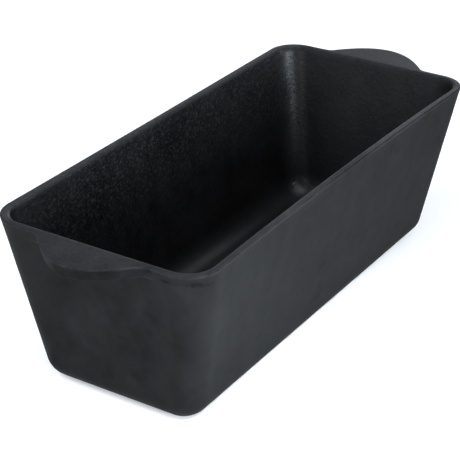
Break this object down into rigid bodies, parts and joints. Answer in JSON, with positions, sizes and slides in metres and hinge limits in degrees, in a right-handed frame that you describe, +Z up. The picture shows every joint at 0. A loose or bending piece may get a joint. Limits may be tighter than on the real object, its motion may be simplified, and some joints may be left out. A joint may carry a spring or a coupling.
{
  "type": "loaf dutch oven",
  "caption": "Deep rectangular cast-iron loaf pan with drafted walls, rounded corners and a half-moon handle lug at each short end; open on top.",
  "frame": {"origin": "middle of the underside, on the surface the pan stands on", "axes": "+X along the length towards the rear handle, +Y across the width, +Z up"},
  "size_m": [0.3404, 0.1302, 0.0987],
  "materials": {
    "seasoned_iron": "matte black seasoned sand casting, fine pebble grain, smoother outside"
  },
  "bodies": {
    "root": {"pan_body": "seasoned_iron", "front_handle": "seasoned_iron", "rear_handle": "seasoned_iron"}
  },
  "joints": []
}
